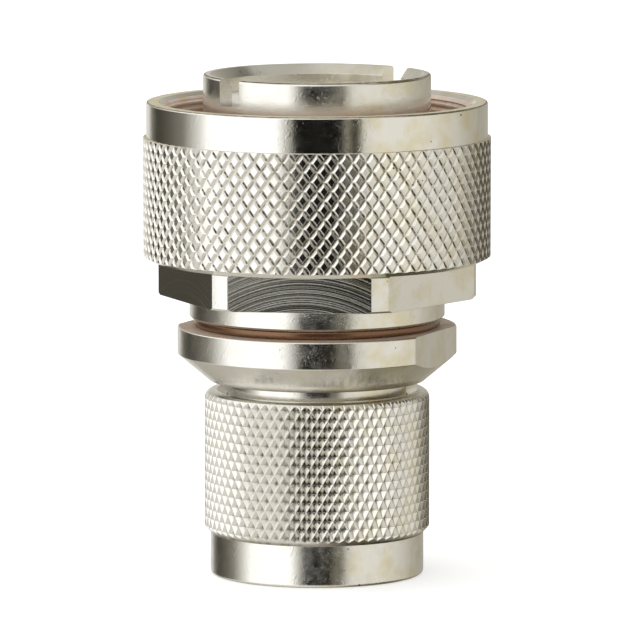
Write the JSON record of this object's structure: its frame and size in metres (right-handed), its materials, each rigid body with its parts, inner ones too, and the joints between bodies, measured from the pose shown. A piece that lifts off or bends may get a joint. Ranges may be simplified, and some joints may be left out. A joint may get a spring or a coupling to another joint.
{
  "type": "coaxial adapter with an n plug",
  "caption": "Silver-plated coaxial adapter: knurled N plug nut at one end, larger knurled coupling nut round a slotted shell at the other.",
  "frame": {"origin": "centre of the lower coupling nut's mouth, on which the part stands", "axes": "+Z along the connector's axis, from the N plug up to the large plug; the camera of the picture looks along +Y"},
  "size_m": [0.0318, 0.0318, 0.0461],
  "materials": {
    "silver_plated_brass": "satin silver plating on turned and knurled brass",
    "spring_bronze": "plated spring bronze, smooth",
    "white_insulator": "turned fluoroplastic, waxy white",
    "gasket_rubber": "moulded silicone rubber"
  },
  "bodies": {
    "adapter_body": {"outer_shell": "silver_plated_brass", "large_gasket": "gasket_rubber", "large_insulator": "white_insulator", "large_centre_contact": "silver_plated_brass", "upper_body": "silver_plated_brass", "middle_bead": "white_insulator", "centre_rod": "silver_plated_brass", "joint_seal": "gasket_rubber", "lower_body": "silver_plated_brass", "n_clamp_ring": "silver_plated_brass", "n_outer_contact": "spring_bronze", "n_rear_bead": "white_insulator", "n_front_bead": "white_insulator", "n_centre_pin": "silver_plated_brass", "n_gasket": "gasket_rubber"},
    "lower_ring": {"n_snap_ring": "spring_bronze"},
    "lower_nut": {"n_coupling_nut": "silver_plated_brass"},
    "upper_ring": {"large_snap_ring": "spring_bronze"},
    "upper_nut": {"large_coupling_nut": "silver_plated_brass"}
  },
  "joints": [
    {"name": "lower_nut_float", "type": "slide", "parent": "adapter_body", "child": "lower_ring", "axis": [0, 0, -1], "range_m": [0, 0.0008]},
    {"name": "lower_nut_turn", "type": "hinge", "parent": "lower_ring", "child": "lower_nut", "pos_m": [0, 0, 0.0134], "axis": [0, 0, 1], "continuous": true},
    {"name": "upper_nut_float", "type": "slide", "parent": "adapter_body", "child": "upper_ring", "axis": [0, 0, 1], "range_m": [0, 0.0008]},
    {"name": "upper_nut_turn", "type": "hinge", "parent": "upper_ring", "child": "upper_nut", "pos_m": [0, 0, 0.0327], "axis": [0, 0, 1], "continuous": true}
  ]
}
